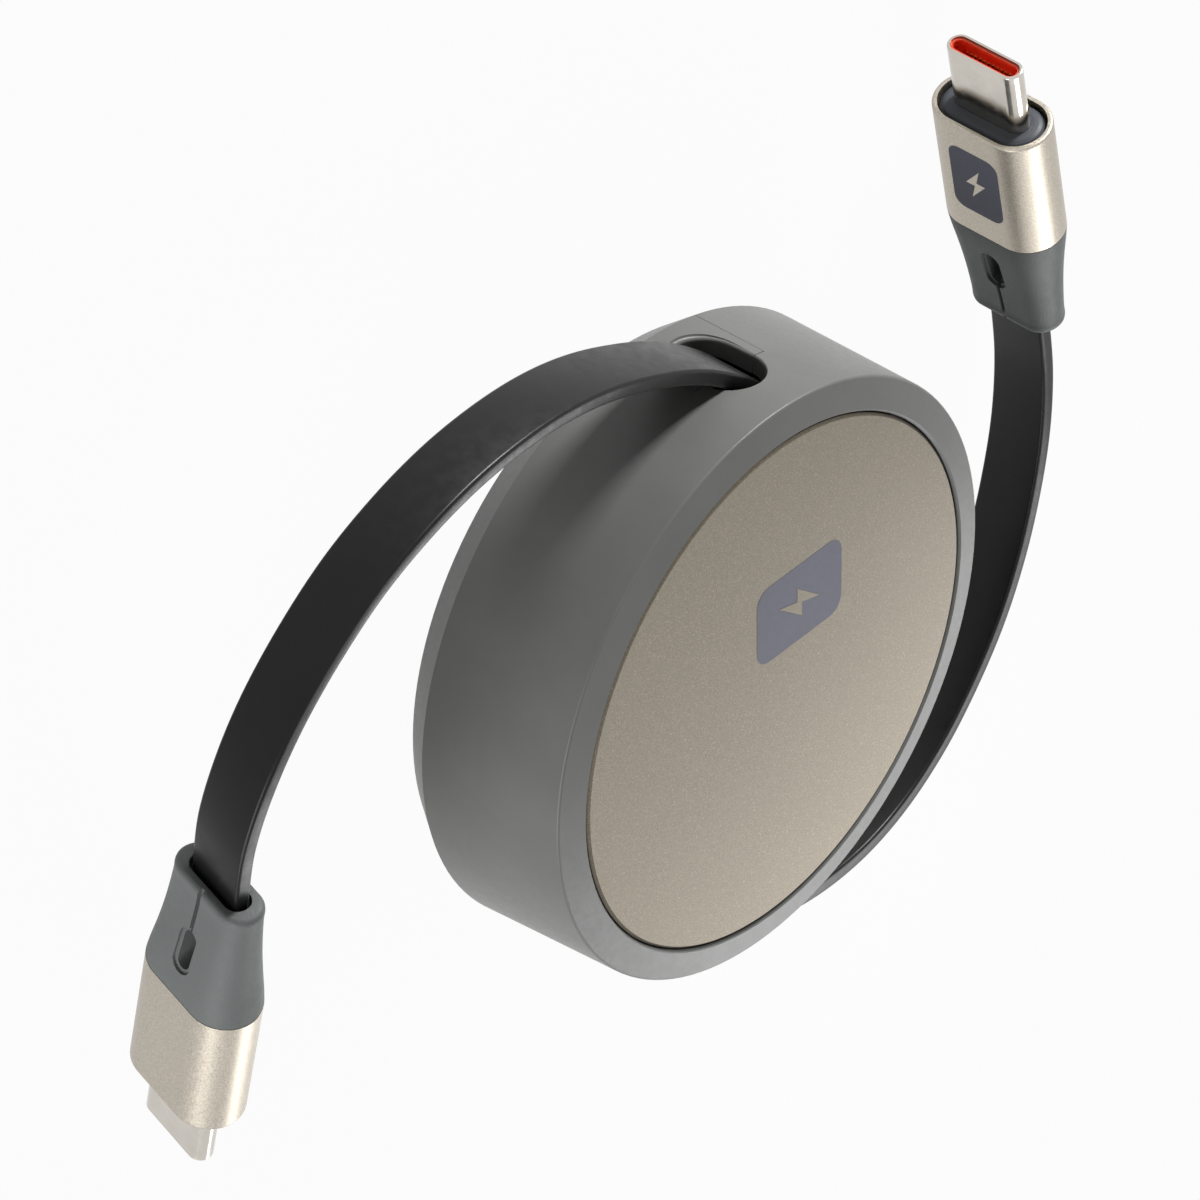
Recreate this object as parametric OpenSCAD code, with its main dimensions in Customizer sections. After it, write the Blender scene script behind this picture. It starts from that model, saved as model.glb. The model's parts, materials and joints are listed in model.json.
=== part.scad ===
// Retractable flat charging lead. A round case holds a sprung spool, and one flat
// lead leaves it on each side, through a slot in the wall, and ends in a USB-C plug.
// The case lies on its rear face. +Z points out of the face plate, and each lead
// leaves the case along X. Lengths are in millimetres and angles in degrees.

/* [Case] */
// Radius of the wall at its rear edge
case_r = 30; // [29:0.5:34]
// How much smaller the wall's radius is at its front edge
wall_draft = 0.5; // [0:0.1:1]
// Height of the case, from its rear face to the top of the rim
case_h = 19.2; // [18.8:0.2:24]
// Thickness of the side wall
wall = 1.8; // [1.4:0.1:2.2]
// Thickness of the front wall, under the face plate
front_t = 1.6; // [1.4:0.1:1.8]
// Thickness of the rear cover's floor
rear_t = 1.8; // [1.4:0.1:2]
// Height of the bevel round the rear edge, where cover and shell part
bevel_h = 3.2; // [2.8:0.1:3.8]
// Width of the bevel round the rear edge
bevel_w = 2.4; // [1:0.1:3]
// How far the rim slopes down from the face plate to the wall
rim_drop = 0.6; // [0.2:0.1:1]
// Radius of the rim's outer edge
rim_edge = 0.3; // [0.2:0.1:0.5]

/* [Case joint] */
// Height of the spigot that centres the shell on the cover
spigot_h = 2; // [1.6:0.1:2.2]
// Thickness of the spigot
spigot_t = 1; // [0.8:0.1:1.2]
// Gap between the spigot and the wall
spigot_gap = 0.1; // [0.05:0.05:0.2]
// Size of the snap bead on the spigot
bead = 0.3; // [0.2:0.05:0.4]
// Width of the fine seams round the tongues
seam = 0.06; // [0.04:0.02:0.12]

/* [Slots] */
// Height of each slot, along the case's axis
slot_h = 9.2; // [9:0.1:9.4]
// Width of each slot, round the wall
slot_w = 6.8; // [6.6:0.1:7]
// How far the slot's middle lies beyond the lead's middle, round the wall
slot_shift = 0.9; // [0.8:0.05:1]
// How far the slot's middle lies below the lead's middle
slot_drop = 0.2; // [0:0.1:0.3]
// Width of the cover's tongue that closes each slot from behind
tongue_w = 9.8; // [9:0.2:11]
// Height of the tongue's top edge above the rear face
tongue_top = 11.2; // [9:0.1:12.5]

/* [Face plate] */
// Width of the rim round the face plate's recess
rim_w = 3.25; // [2.9:0.05:5]
// Thickness of the face plate
plate_t = 1.3; // [1:0.1:1.4]
// Bevel round the face plate's edge
plate_edge = 0.25; // [0.1:0.05:0.4]
// Gap round the face plate
plate_gap = 0.15; // [0.1:0.05:0.3]
// How far the face plate's surface lies below the top of the rim
plate_sink = 0.05; // [0:0.05:0.2]
// Thickness of the adhesive pad under the face plate
tape_t = 0.2; // [0.1:0.05:0.3]
// Width of the bare band round the adhesive pad
tape_inset = 1.6; // [1:0.1:3]

/* [Spindle] */
// Radius of the steel spindle
spindle_r = 1.5; // [1.4:0.1:1.8]
// Running clearance between the spindle and the spool, on the radius
run_gap = 0.05; // [0.03:0.01:0.1]
// Clearance of pieces that are pressed or dropped in, on the radius
fit_gap = 0.02; // [0.01:0.01:0.04]
// Depth of floor left under the spindle's seat
seat_floor = 0.8; // [0.6:0.1:1]
// Radius of the arbor round the spindle, which holds the spring's inner end
arbor_r = 3; // [2.6:0.1:3.2]
// Radius of the spindle screw's shank
screw_r = 0.8; // [0.6:0.1:0.9]
// Length of the spindle screw's shank in the spindle
screw_grip = 6; // [4:0.5:8]
// Radius of the spindle screw's head
screw_head_r = 1.7; // [1.5:0.1:2]
// Height of the spindle screw's head
screw_head_h = 0.9; // [0.7:0.1:1]
// Width of the screw's drive slot
drive_w = 0.5; // [0.4:0.05:0.6]
// Thickness of each spool washer
washer_t = 0.25; // [0.2:0.05:0.3]
// Radius of each spool washer
washer_r = 2.8; // [2.4:0.1:3]

/* [Spool] */
// Gap between the side wall and the spool's flanges, where the leads turn outward
flange_gap = 3.5; // [2.7:0.1:4.2]
// Thickness of each flange
flange_t = 0.8; // [0.7:0.1:0.9]
// Radius of the hub that the lead is wound on
hub_r = 7.5; // [6.5:0.1:9]
// Radius of the winding with the leads drawn out as far as they are here
winding_r = 20.9; // [20:0.1:21]
// Gap between the winding and the lead that leaves it
peel_gap = 0.4; // [0.3:0.1:0.5]
// Gap between the lead's edge and each flange
edge_gap = 0.3; // [0.2:0.05:0.4]
// Gap between the rear cover's floor and the spool
floor_gap = 0.3; // [0.2:0.05:0.4]

/* [Power spring] */
// Width of the spring band
spring_w = 3; // [2.6:0.1:3.2]
// Thickness of the spring band
spring_t = 0.4; // [0.3:0.05:0.5]
// Turns of the spring band
spring_turns = 8; // [6:1:9]
// Inside radius of the spring cup under the spool
cup_r = 17; // [15:0.5:20]
// Thickness of the spring cup's wall
cup_wall = 1.2; // [1:0.1:1.5]
// Thickness of the spring lid
lid_t = 0.6; // [0.5:0.1:0.7]
// Gap above and below the spring band
spring_gap = 0.1; // [0.05:0.05:0.15]

/* [Ratchet] */
// Number of notches round the spool's ring
notch_count = 24; // [18:1:28]
// Outside radius of the notched ring
ring_r = 13; // [12:0.1:13.5]
// Width of the notched ring
ring_w = 2.5; // [2:0.1:3]
// Height of the notched ring
ring_h = 1.2; // [1:0.1:1.3]
// Radius of each notch
notch_r = 1.1; // [1:0.05:1.2]
// Radius of the pawl's nose
nose_r = 0.8; // [0.6:0.05:0.85]
// Clearance between the lifted nose and the ring
nose_lift = 0.3; // [0.2:0.05:0.4]
// Length of the pawl, from its pin to its nose
pawl_l = 6.5; // [6:0.1:8]
// Thickness of the pawl
pawl_t = 1; // [0.8:0.05:1.1]
// Gap between the flange and the pawl
pawl_gap = 0.35; // [0.3:0.05:0.4]
// Radius of the pawl's eye
eye_r = 1.6; // [1.4:0.1:1.8]
// Radius of the pawl's pin
pin_r = 0.8; // [0.6:0.05:0.9]
// Depth of the pin in the front wall
pin_grip = 1; // [0.7:0.1:1.2]
// Thickness of the pawl's leaf spring
leaf_t = 0.2; // [0.15:0.05:0.25]
// Width of the pawl's leaf spring
leaf_w = 0.7; // [0.5:0.1:0.8]
// Length of the leaf spring that lies free
leaf_l = 4.4; // [4:0.1:5]
// Side of the block that holds the leaf spring
block = 1.6; // [1.4:0.1:2]

/* [Lead] */
// Width of the flat lead
lead_w = 6.2; // [5.6:0.1:6.6]
// Thickness of the flat lead
lead_t = 1.6; // [1.3:0.1:1.8]
// Bevel along the lead's edges
lead_edge = 0.3; // [0.2:0.05:0.5]

/* [Plug shell] */
// Width of the plug's steel shell
shell_w = 8.25; // [8:0.05:8.5]
// Thickness of the plug's steel shell
shell_t = 2.4; // [2.3:0.05:2.6]
// Wall of the plug's steel shell
shell_wall = 0.3; // [0.25:0.05:0.35]
// Length of steel shell that stands out of the sleeve
shell_l = 7.2; // [6.2:0.1:7.6]
// Radius of the shell's front edge
shell_edge = 0.15; // [0.1:0.05:0.2]
// How far the coloured insert lies behind the shell's front edge
insert_sink = 0.2; // [0.1:0.05:0.4]
// Wall of the coloured insert
insert_wall = 0.22; // [0.18:0.01:0.3]
// Depth of the insert's mouth
mouth_depth = 5; // [4:0.5:6]
// Contacts in each row
contact_count = 12; // [6:2:12]
// Distance between contacts in a row
contact_pitch = 0.5; // [0.45:0.01:0.52]
// Width of a contact
contact_w = 0.26; // [0.2:0.02:0.3]
// Thickness of a contact
contact_t = 0.1; // [0.06:0.02:0.12]
// Length of a contact
contact_l = 3.6; // [3:0.1:3.8]

/* [Plug grip] */
// Width of the metal sleeve
sleeve_w = 12.4; // [11.8:0.1:13]
// Thickness of the metal sleeve
sleeve_t = 6.9; // [6.3:0.1:7.3]
// Length of the metal sleeve
sleeve_l = 14; // [12:0.5:17]
// Wall of the metal sleeve
sleeve_wall = 0.5; // [0.4:0.05:0.6]
// Radius of the sleeve's front edge
sleeve_edge = 0.25; // [0.15:0.05:0.35]
// Gap between the sleeve and what fills it
sleeve_gap = 0.08; // [0.04:0.02:0.12]
// Depth of the dark collar in the sleeve's mouth
collar_l = 4; // [3:0.5:5]
// Radius of the collar's front edge
collar_edge = 1.1; // [0.6:0.1:1.2]
// How far the collar's front lies behind the sleeve's edge
collar_sink = 0.1; // [0:0.05:0.3]
// Thickness of the circuit board in the sleeve
board_t = 0.8; // [0.6:0.1:1]
// Width of the circuit board
board_w = 9; // [8:0.5:10]

/* [Plug boot] */
// Length of the soft boot
boot_l = 12.9; // [11:0.1:15]
// Width of the boot's end, where the lead enters
boot_end_w = 9.9; // [9:0.1:10.6]
// Thickness of the boot's end
boot_end_t = 4.4; // [4:0.1:5]
// Radius of the boot's end edge
boot_round = 0.5; // [0.3:0.1:0.7]
// Length of the boot's tenon in the sleeve
tenon_l = 3; // [2:0.5:4]
// Length of lead that runs on inside the boot
lead_seat = 11; // [10.5:0.1:12]
// Depth of the open mouth round the lead in the boot's end
mouth_sink = 1; // [0.6:0.1:1.5]
// Gap round the lead in that mouth
mouth_gap = 0.45; // [0.3:0.05:0.6]
// Width of the oval pocket in each broad side of the boot
pocket_w = 1.5; // [1:0.1:1.8]
// Length of the oval pocket
pocket_l = 4.4; // [3.4:0.1:5]
// Distance from the boot's end to the pocket's near end
pocket_from_end = 5.3; // [4:0.1:5.5]
// Width of the slit from the pocket to the boot's end
slit_w = 0.45; // [0.3:0.05:0.6]
// Depth of the slit under the sleeve's surface
slit_depth = 1.75; // [1.6:0.05:1.8]

/* [Hidden] */
$fn = 72;

// Overrun of every cut beyond the face it opens
cut = 1;
// Steps of a rounded edge's quarter circle
edge_steps = 5;

// Radii of the case's front edge, the metal face plate and the spool's flanges
front_r = case_r - wall_draft;
plate_r = front_r - rim_w - plate_gap;
flange_r = front_r - wall - flange_gap;

// Heights of the case's inner layers
recess_z = case_h - plate_sink - plate_t - tape_t;
ceiling_z = recess_z - front_t;
lid_z = rear_t + floor_gap;
band_z = lid_z + lid_t + spring_gap;
web_z = band_z + spring_w + spring_gap;
lead_z = web_z + flange_t + edge_gap;
lane_z = lead_z + lead_w / 2;
flange_z = lead_z + lead_w + edge_gap;
spool_top = flange_z + flange_t;

// Line of the lead where it peels off the winding, and the slot's bearing there
lane_y = winding_r + peel_gap + lead_t / 2;
slot_bearing = 180 - asin(lane_y / case_r) - asin(slot_shift / case_r);
tongue_half = asin(tongue_w / 2 / case_r);
seam_angle = asin(seam / case_r);

// Arbor, bosses and washers on the spindle's line
arbor_top = web_z - washer_t - run_gap;
boss_z = spool_top + washer_t + 2 * run_gap;
boss_r = washer_r;
spindle_top = ceiling_z + front_t / 4;
arbor_slit = spring_t + 2 * spring_gap;

// Power spring: half turns about two centres that lie a quarter pitch off the spindle
spring_in = arbor_r + spring_gap;
spring_pitch = (cup_r - spring_gap - spring_t - spring_in) / spring_turns;

// Ratchet: the pawl's pin lies one pawl length behind the lifted nose
nose_x = ring_r + nose_r + nose_lift;
pawl_z = spool_top + pawl_gap;
arm_w = nose_r;
leaf_x = nose_x + nose_r + spring_gap;
leaf_z = pawl_z + (pawl_t - leaf_w) / 2;

// Plug stations, measured from the boot's end along the plug
seam_z = boot_l;
sleeve_top = boot_l + sleeve_l;
tip_z = sleeve_top + shell_l;
board_z = boot_l + tenon_l;
collar_z = sleeve_top - collar_sink - collar_l;
core_w = sleeve_w - 2 * (sleeve_wall + sleeve_gap);
core_t = sleeve_t - 2 * (sleeve_wall + sleeve_gap);
insert_w = shell_w - 2 * (shell_wall + fit_gap);
insert_t = shell_t - 2 * (shell_wall + fit_gap);
mouth_w = insert_w - 2 * insert_wall;
mouth_t = insert_t - 2 * insert_wall;

// Boot sections: share of its length, then share of the way from its end's width
// and thickness to the sleeve's
boot_shares = [[0.12, 0, 0], [0.3, 0.1, 0.16], [0.5, 0.27, 0.38], [0.7, 0.52, 0.66],
    [0.88, 0.82, 0.9], [1, 1, 1]];
// Points round each half of a boot section
boot_side_points = 9;
// Steps of the boot's rounded end
boot_round_steps = 3;

// Routes of the leads, from the winding to the boots' ends
left_route = [[-3, 22.1, 10.1], [-11, 22.1, 10.1], [-18.6, 21.9, 10.1], [-26, 20.5, 10.2],
    [-33, 18.1, 10.6], [-39.6, 15.2, 11.2], [-45.7, 11.7, 12], [-51.2, 7.5, 12.8],
    [-56, 2.7, 13.5], [-60, -2.8, 14.1], [-63, -9, 14.5], [-64.7, -15.6, 14.8],
    [-65, -22, 14.8], [-63.8, -27.8, 14.5], [-60.8, -32.8, 13.6], [-56.4, -36.9, 12.5]];
right_route = [[3, -22.1, 10.1], [11, -22.1, 10.1], [18.6, -21.9, 10.1], [25.6, -20.6, 9.9],
    [32, -18, 9.6], [37.8, -14.2, 9.2], [42.8, -9.4, 8.7], [46.6, -3.8, 8.1],
    [49, 2.6, 7.5], [50, 9.2, 6.9], [49.8, 15.8, 6.4], [48.2, 22.2, 6], [45.4, 28, 5.8],
    [41.7, 33.4, 5.7], [37, 38.3, 5.6], [31.2, 42.4, 5.7]];
// Direction of each plug: bearing from boot to tip, tilt of the tip upward, and twist
left_turn = [-40.8, -13.7, -11];
right_turn = [150.6, 2.8, 1.5];
// Rings that the swept lead has in each span of its route
rings_per_span = 2;

// Points of a quarter circle of radius r about c, from angle a
function quarter(c, r, a) = [for (i = [0 : edge_steps])
    c + r * [cos(a + 90 * i / edge_steps), sin(a + 90 * i / edge_steps)]];

// Outside radius of the wall at height z
function wall_r(z) = case_r - wall_draft * (z - bevel_h) / (case_h - rim_drop - bevel_h);
// Outside radius of the cover's spigot at height z
function spigot_r(z) = wall_r(z) - wall - spigot_gap;

// Curve through a route's points: value and slope at span i, share u of the span
function slope_at(p, i) = (p[min(i + 1, len(p) - 1)] - p[max(i - 1, 0)]) / 2;
function on_curve(p, i, u) =
    p[i] * (2 * pow(u, 3) - 3 * pow(u, 2) + 1) + slope_at(p, i) * (pow(u, 3) - 2 * pow(u, 2) + u)
    + p[i + 1] * (3 * pow(u, 2) - 2 * pow(u, 3)) + slope_at(p, i + 1) * (pow(u, 3) - pow(u, 2));
function unit(v) = v / norm(v);

// Directions of a plug: along it, and across its broad side
function plug_along(turn) = [cos(turn[0]) * cos(turn[1]), sin(turn[0]) * cos(turn[1]), sin(turn[1])];
function plug_side(turn) = [-sin(turn[0]), cos(turn[0]), 0];
function plug_across(turn) = cos(turn[2]) * cross(plug_along(turn), plug_side(turn))
    + sin(turn[2]) * plug_side(turn);

// Outline of the flat lead: across its width, then across its thickness
function lead_outline() = let (a = lead_w / 2, b = lead_t / 2, e = lead_edge)
    [[a - e, -b], [a, e - b], [a, b - e], [a - e, b], [e - a, b], [-a, b - e], [-a, e - b], [e - a, -b]];

// Outline of a bar with half-round ends, as points, for the boot's sections
function bar_outline(w, t) = let (n = boot_side_points - 1)
    [for (s = [1, -1], i = [0 : n])
        s * [(w - t) / 2 + cos(180 * i / n - 90) * t / 2, sin(180 * i / n - 90) * t / 2]];

// Flat bar with half-round ends
module bar_2d(w, t) {
    square([w - t, t], center = true);
    for (s = [-1, 1])
        translate([s * (w - t) / 2, 0])
            circle(d = t);
}

// Half section of a block of height h whose top edge is rounded by e
module rounded_half(r, h, e) {
    polygon(concat([[0, 0], [r, 0]], quarter([r - e, h - e], e, 0), [[0, h]]));
}

// Block with half-round ends and a rounded top edge
module rounded_bar(w, t, h, e) {
    rotate([90, 0, 90])
        linear_extrude(w - t, center = true)
            for (s = [0, 1])
                mirror([s, 0])
                    rounded_half(t / 2, h, e);
    for (s = [0, 180])
        rotate([0, 0, s])
            translate([(w - t) / 2, 0, 0])
                rotate([0, 0, -90])
                    rotate_extrude(angle = 180)
                        rounded_half(t / 2, h, e);
}

// Plain disc or ring from height z up
module ring(r_out, r_in, z, h) {
    translate([0, 0, z])
        difference() {
            cylinder(r = r_out, h = h);
            translate([0, 0, -cut])
                cylinder(r = r_in, h = h + 2 * cut);
        }
}

// Solid swept through rings of points
module loft(rings) {
    n = len(rings[0]);
    m = len(rings);
    polyhedron(
        points = [for (ring = rings) for (p = ring) p],
        faces = concat(
            [[for (i = [0 : n - 1]) i]],
            [[for (i = [n - 1 : -1 : 0]) (m - 1) * n + i]],
            [for (k = [0 : m - 2], i = [0 : n - 1])
                [k * n + i, (k + 1) * n + i, (k + 1) * n + (i + 1) % n]],
            [for (k = [0 : m - 2], i = [0 : n - 1])
                [k * n + i, (k + 1) * n + (i + 1) % n, k * n + (i + 1) % n]]));
}

// Case
// Opening of one slot, square to the wall
module slot_cut() {
    rotate([0, 0, slot_bearing])
        translate([flange_r, 0, lane_z - slot_drop])
            rotate([0, 90, 0])
                linear_extrude(case_r - flange_r + cut)
                    bar_2d(slot_h, slot_w);
}

// Tongue of side wall that closes a slot from behind
module tongue() {
    rotate([0, 0, slot_bearing - tongue_half])
        rotate_extrude(angle = 2 * tongue_half)
            polygon([[spigot_r(bevel_h), bevel_h], [case_r, bevel_h], [wall_r(tongue_top), tongue_top],
                [spigot_r(tongue_top), tongue_top]]);
}

// Notch in the shell that a tongue fills, with a fine seam round it
module tongue_notch() {
    rotate([0, 0, slot_bearing - tongue_half - seam_angle])
        rotate_extrude(angle = 2 * (tongue_half + seam_angle))
            translate([case_r - wall - cut, bevel_h - cut])
                square([wall + 2 * cut, tongue_top + seam - bevel_h + cut]);
}

// Section of the shell: side wall, rim, recess for the plate and front wall
module shell_section() {
    rim_z = case_h - rim_drop;
    lip_r = plate_r + plate_gap;
    bead_z = bevel_h + spigot_h / 2;
    polygon(concat(
        [[case_r - wall, bevel_h], [case_r, bevel_h]],
        quarter([front_r - rim_edge, rim_z - rim_edge], rim_edge, 0),
        [[lip_r + plate_edge, case_h], [lip_r, case_h - plate_edge], [lip_r, recess_z],
            [0, recess_z], [0, ceiling_z], [front_r - wall, ceiling_z],
            [wall_r(bead_z + bead) - wall, bead_z + bead],
            [wall_r(bead_z) - wall + bead, bead_z],
            [wall_r(bead_z - bead) - wall, bead_z - bead]]));
}

module front_shell() {
    color("#6d706c")
        difference() {
            union() {
                rotate_extrude($fn = 144)
                    shell_section();
                translate([0, 0, boss_z])
                    cylinder(r = boss_r, h = ceiling_z - boss_z);
                translate([leaf_x + leaf_t / 2 - block / 2, leaf_l - block, leaf_z + leaf_w])
                    cube([block, block, ceiling_z - leaf_z - leaf_w]);
            }
            for (s = [0, 180])
                rotate([0, 0, s]) {
                    slot_cut();
                    tongue_notch();
                }
            translate([0, 0, boss_z - cut])
                cylinder(r = spindle_r + fit_gap, h = spindle_top - boss_z + cut);
            translate([0, 0, boss_z])
                cylinder(r = screw_r + run_gap, h = recess_z - boss_z + cut);
            translate([0, 0, recess_z - screw_head_h])
                cylinder(r1 = screw_r + run_gap, r2 = screw_head_r + run_gap, h = screw_head_h);
            translate([nose_x, -pawl_l, ceiling_z - cut])
                cylinder(r = pin_r + fit_gap, h = pin_grip + cut);
        }
}

// Section of the cover: floor, bevel, ledge and spigot with its snap bead
module cover_section() {
    top = bevel_h + spigot_h;
    bead_z = bevel_h + spigot_h / 2;
    polygon([[0, 0], [case_r - bevel_w, 0], [case_r, bevel_h], [spigot_r(bevel_h), bevel_h],
        [spigot_r(bead_z - bead), bead_z - bead], [spigot_r(bead_z) + bead, bead_z],
        [spigot_r(bead_z + bead), bead_z + bead], [spigot_r(top), top],
        [spigot_r(top) - spigot_t, top], [spigot_r(top) - spigot_t, rear_t], [0, rear_t]]);
}

module rear_cover() {
    color("#646763")
        difference() {
            union() {
                rotate_extrude($fn = 144)
                    cover_section();
                translate([0, 0, rear_t])
                    cylinder(r = arbor_r, h = arbor_top - rear_t);
                for (s = [0, 180])
                    rotate([0, 0, s])
                        tongue();
            }
            for (s = [0, 180])
                rotate([0, 0, s])
                    slot_cut();
            translate([0, 0, seat_floor])
                cylinder(r = spindle_r + fit_gap, h = arbor_top);
            translate([spindle_r, -arbor_slit / 2, lid_z])
                cube([arbor_r, arbor_slit, arbor_top]);
        }
}

module face_plate() {
    color("#8f8674")
        translate([0, 0, recess_z + tape_t])
            rotate_extrude($fn = 144)
                polygon([[0, 0], [plate_r, 0], [plate_r, plate_t - plate_edge],
                    [plate_r - plate_edge, plate_t], [0, plate_t]]);
}

module plate_tape() {
    color("#22262a")
        translate([0, 0, recess_z])
            cylinder(r = plate_r - tape_inset, h = tape_t);
}

// Spindle line
module spindle() {
    color("#b9bcbf")
        translate([0, 0, seat_floor])
            difference() {
                cylinder(r = spindle_r, h = spindle_top - seat_floor);
                translate([0, 0, spindle_top - seat_floor - screw_grip])
                    cylinder(r = screw_r, h = screw_grip + cut);
            }
}

module spindle_screw() {
    color("#8e9296")
        difference() {
            union() {
                translate([0, 0, spindle_top - screw_grip])
                    cylinder(r = screw_r, h = recess_z - spindle_top + screw_grip - screw_head_h);
                translate([0, 0, recess_z - screw_head_h])
                    cylinder(r1 = screw_r, r2 = screw_head_r, h = screw_head_h);
            }
            for (a = [0, 90])
                rotate([0, 0, a])
                    translate([-screw_head_r * 0.7, -drive_w / 2, recess_z - screw_head_h / 2])
                        cube([screw_head_r * 1.4, drive_w, screw_head_h]);
        }
}

module lower_washer() {
    color("#c9ccce")
        ring(washer_r, spindle_r + run_gap, arbor_top, washer_t);
}

module upper_washer() {
    color("#c9ccce")
        ring(washer_r, spindle_r + run_gap, boss_z - run_gap - washer_t, washer_t);
}

// Spool
module spool() {
    color("#d6d4ca")
        difference() {
            union() {
                translate([0, 0, web_z])
                    cylinder(r = flange_r, h = flange_t, $fn = 144);
                translate([0, 0, web_z])
                    cylinder(r = hub_r, h = spool_top - web_z);
                translate([0, 0, flange_z])
                    cylinder(r = flange_r, h = flange_t, $fn = 144);
                ring(cup_r + cup_wall, cup_r, lid_z + lid_t, web_z - lid_z - lid_t);
                difference() {
                    ring(ring_r, ring_r - ring_w, spool_top, ring_h);
                    for (i = [0 : notch_count - 1])
                        rotate([0, 0, 360 * i / notch_count])
                            translate([ring_r, 0, spool_top])
                                cylinder(r = notch_r, h = ring_h + cut, $fn = 24);
                }
            }
            translate([0, 0, web_z - cut])
                cylinder(r = spindle_r + run_gap, h = spool_top - web_z + 2 * cut);
        }
}

module spring_lid() {
    color("#c8c6bc")
        ring(cup_r + cup_wall, arbor_r + floor_gap, lid_z, lid_t);
}

// Half turns of band on two centres make a spiral, and a straight tail enters the arbor
module power_spring() {
    color("#5d646c")
        translate([0, 0, band_z])
            union() {
                for (i = [0 : 2 * spring_turns - 1])
                    rotate([0, 0, 180 * (i % 2)])
                        translate([-spring_pitch / 4, 0, 0])
                            rotate_extrude(angle = 180)
                                translate([spring_in + spring_pitch * (2 * i + 1) / 4, 0])
                                    square([spring_t, spring_w]);
                translate([spindle_r + spring_gap, -spring_t / 2, 0])
                    cube([spring_in + spring_t - spindle_r - spring_gap, spring_t,
                        arbor_top - spring_gap - band_z]);
            }
}

module lead_winding() {
    color("#26282b")
        ring(winding_r, hub_r + fit_gap, lead_z, lead_w);
}

// Ratchet
module ratchet_pawl() {
    color("#e2dfd2")
        translate([nose_x, -pawl_l, pawl_z])
            difference() {
                union() {
                    cylinder(r = eye_r, h = pawl_t);
                    cube([arm_w, pawl_l, pawl_t]);
                    translate([0, pawl_l, 0])
                        cylinder(r = nose_r, h = pawl_t);
                }
                translate([0, 0, -cut])
                    cylinder(r = pin_r + run_gap, h = pawl_t + 2 * cut);
            }
}

module pawl_pin() {
    color("#b9bcbf")
        translate([nose_x, -pawl_l, pawl_z])
            cylinder(r = pin_r, h = ceiling_z + pin_grip - pawl_z);
}

module pawl_spring() {
    color("#7c8288")
        translate([leaf_x, -leaf_l / 4, leaf_z])
            cube([leaf_t, leaf_l * 5 / 4, leaf_w]);
}

// Leads
// Flat tube along a route, whose width turns from upright to the plug's own direction,
// and straight on through the boot
module lead(route, turn) {
    last = len(route) - 1;
    steps = last * rings_per_span;
    centres = concat(
        [for (k = [0 : steps]) let (i = min(floor(k / rings_per_span), last - 1))
            on_curve(route, i, k / rings_per_span - i)],
        [route[last] + lead_seat * plug_along(turn)]);
    headings = [for (k = [0 : steps + 1])
        k == 0 ? [sign(route[0][0]), 0, 0] : k >= steps ? plug_along(turn)
        : unit(centres[k + 1] - centres[k - 1])];
    loft([for (k = [0 : steps + 1])
        let (turned = min(k / steps, 1),
            lean = (1 - turned) * [0, 0, 1] + turned * plug_across(turn),
            along = headings[k],
            across = unit(lean - (lean * along) * along),
            through = cross(along, across))
        [for (q = lead_outline()) centres[k] + q[0] * across + q[1] * through]]);
}

module left_lead() {
    color("#2b2d30")
        lead(left_route, left_turn);
}

module right_lead() {
    color("#2b2d30")
        lead(right_route, right_turn);
}

// Plugs
// Sets a plug, drawn upright from its boot's end, on the end of a route
module on_plug(route, turn) {
    translate(route[len(route) - 1])
        rotate([0, 90 - turn[1], turn[0]])
            rotate([0, 0, -turn[2]])
                children();
}

// Inside of a bar-shaped tube from height z up
module bar_hole(w, t, z, h) {
    translate([0, 0, z])
        linear_extrude(h)
            bar_2d(w, t);
}

module plug_shell() {
    color("#c4c2bd")
        translate([0, 0, collar_z])
            difference() {
                rounded_bar(shell_w, shell_t, tip_z - collar_z, shell_edge);
                bar_hole(insert_w + 2 * fit_gap, insert_t + 2 * fit_gap, -cut, tip_z + 2 * cut);
            }
}

module plug_insert() {
    h = tip_z - insert_sink - collar_z;
    color("#d8431f")
        translate([0, 0, collar_z])
            difference() {
                linear_extrude(h)
                    bar_2d(insert_w, insert_t);
                bar_hole(mouth_w, mouth_t, h - mouth_depth, mouth_depth + cut);
            }
}

// Two rows of contacts on the long sides of the insert's mouth
module plug_contacts() {
    color("#d9b24a")
        for (s = [0, 180], i = [0 : contact_count - 1])
            rotate([0, 0, s])
                translate([(i - (contact_count - 1) / 2) * contact_pitch - contact_w / 2,
                    mouth_t / 2 - contact_t, tip_z - insert_sink - mouth_depth])
                    cube([contact_w, contact_t, contact_l]);
}

module plug_collar() {
    color("#3b3f43")
        translate([0, 0, collar_z])
            difference() {
                rounded_bar(core_w, core_t, collar_l, collar_edge);
                bar_hole(shell_w + 2 * fit_gap, shell_t + 2 * fit_gap, -cut, collar_l + 2 * cut);
            }
}

module plug_sleeve() {
    color("#b5ad9c")
        translate([0, 0, seam_z])
            difference() {
                rounded_bar(sleeve_w, sleeve_t, sleeve_l, sleeve_edge);
                bar_hole(sleeve_w - 2 * sleeve_wall, sleeve_t - 2 * sleeve_wall, -cut,
                    sleeve_l + 2 * cut);
            }
}

module plug_board() {
    color("#2f6b45")
        translate([-board_w / 2, -board_t / 2, board_z])
            cube([board_w, board_t, collar_z - board_z]);
}

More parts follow.
